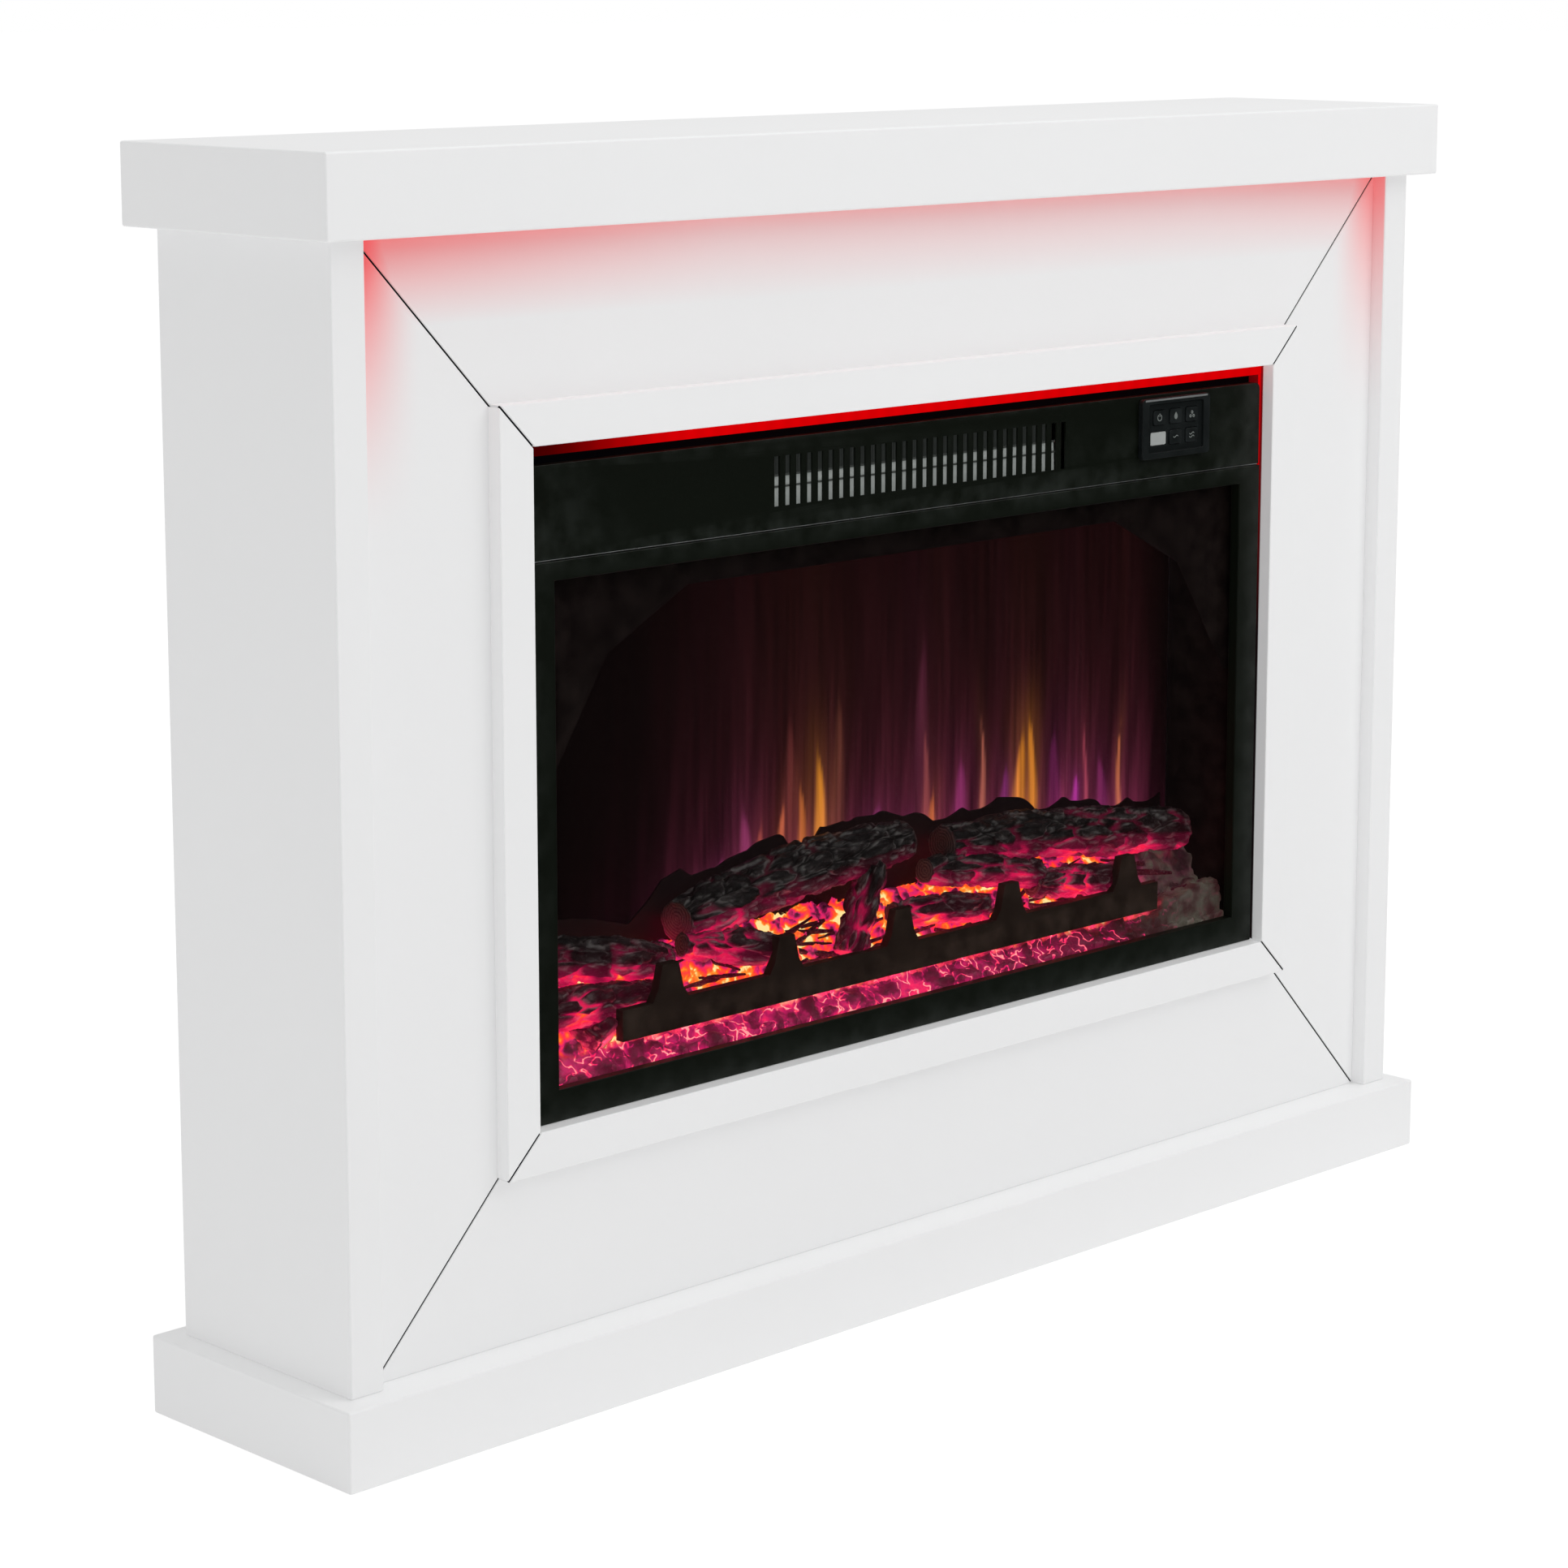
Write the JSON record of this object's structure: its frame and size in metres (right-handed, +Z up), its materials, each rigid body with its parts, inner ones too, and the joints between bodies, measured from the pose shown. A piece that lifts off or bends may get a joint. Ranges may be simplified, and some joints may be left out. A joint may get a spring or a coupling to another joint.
{
  "type": "electric fireplace",
  "caption": "Free-standing electric fireplace: white mantel surround with mitred fascia around a black fan-heater fire with a glowing log bed, glass front and push-button panel.",
  "frame": {"origin": "centre of the overall bounding box on the floor, under the plinth", "axes": "+X to the viewer's right when facing the fire, -Y out of the front of the fire, +Z up"},
  "size_m": [1.12, 0.213, 0.857],
  "materials": {
    "white_paint": "satin white paint on fibreboard",
    "zinc_steel": "zinc plated sheet",
    "red_light": "opal diffuser over red lamps",
    "black_steel": "fine black powder coat",
    "tinted_glass": "tinted, polished",
    "black_plastic": "fine satin",
    "display_plastic": "silver behind a clear window",
    "circuit_board": "solder mask",
    "flame_screen": "translucent film",
    "charred_resin": "charred bark",
    "ember_resin": "translucent embers, lit from below",
    "aluminium": "bright rolled sheet",
    "copper_winding": "lacquered winding wire"
  },
  "bodies": {
    "fireplace": {"mantel_shell": "white_paint", "mantel_soffit": "white_paint", "plinth_shell": "white_paint", "left_side_board": "white_paint", "right_side_board": "white_paint", "fascia_top": "white_paint", "fascia_bottom": "white_paint", "fascia_left": "white_paint", "fascia_right": "white_paint", "frame_top": "white_paint", "frame_bottom": "white_paint", "frame_left": "white_paint", "frame_right": "white_paint", "rear_top_rail": "white_paint", "insert_shelf": "white_paint", "left_wall_bracket": "zinc_steel", "right_wall_bracket": "zinc_steel", "casing_wrap": "zinc_steel", "casing_lid": "zinc_steel", "rear_cover": "zinc_steel", "spindle_motor": "zinc_steel", "fan_housing": "zinc_steel", "mantel_light_strip": "red_light", "frame_light_strip": "red_light", "window_frame": "black_steel", "control_band": "black_steel", "left_chamber_liner": "black_steel", "right_chamber_liner": "black_steel", "chamber_ceiling": "black_steel", "chamber_arch": "black_steel", "log_guard": "black_steel", "front_glass": "tinted_glass", "control_bezel": "black_plastic", "cable_gland": "black_plastic", "spindle_bearing": "black_plastic", "display_window": "display_plastic", "control_circuit_board": "circuit_board", "flame_light_board": "circuit_board", "ember_light_board": "circuit_board", "flame_screen": "flame_screen", "rear_left_log": "charred_resin", "rear_right_log": "charred_resin", "upper_left_log": "charred_resin", "lower_left_log": "charred_resin", "front_left_log": "charred_resin", "middle_left_log": "charred_resin", "upright_log": "charred_resin", "middle_right_log": "charred_resin", "short_right_log": "charred_resin", "front_right_log": "charred_resin", "ember_bed": "ember_resin", "heating_element": "aluminium", "fan_motor": "copper_winding"},
    "flame_spindle": {"flame_spindle": "aluminium"},
    "fan_impeller": {"fan_impeller": "aluminium"},
    "power_button": {"power_button": "black_plastic"},
    "flame_button": {"flame_button": "black_plastic"},
    "ember_button": {"ember_button": "black_plastic"},
    "low_heat_button": {"low_heat_button": "black_plastic"},
    "high_heat_button": {"high_heat_button": "black_plastic"}
  },
  "joints": [
    {"name": "flame_spindle_spin", "type": "hinge", "parent": "fireplace", "child": "flame_spindle", "pos_m": [0, 0.0293, 0.259], "axis": [1, 0, 0], "continuous": true},
    {"name": "fan_impeller_spin", "type": "hinge", "parent": "fireplace", "child": "fan_impeller", "pos_m": [0, -0.0157, 0.6053], "axis": [1, 0, 0], "continuous": true},
    {"name": "power_button_press", "type": "slide", "parent": "fireplace", "child": "power_button", "axis": [0, 1, 0], "range_m": [0, 0.001], "stiffness_N_per_m": 300},
    {"name": "flame_button_press", "type": "slide", "parent": "fireplace", "child": "flame_button", "axis": [0, 1, 0], "range_m": [0, 0.001], "stiffness_N_per_m": 300},
    {"name": "ember_button_press", "type": "slide", "parent": "fireplace", "child": "ember_button", "axis": [0, 1, 0], "range_m": [0, 0.001], "stiffness_N_per_m": 300},
    {"name": "low_heat_button_press", "type": "slide", "parent": "fireplace", "child": "low_heat_button", "axis": [0, 1, 0], "range_m": [0, 0.001], "stiffness_N_per_m": 300},
    {"name": "high_heat_button_press", "type": "slide", "parent": "fireplace", "child": "high_heat_button", "axis": [0, 1, 0], "range_m": [0, 0.001], "stiffness_N_per_m": 300}
  ]
}
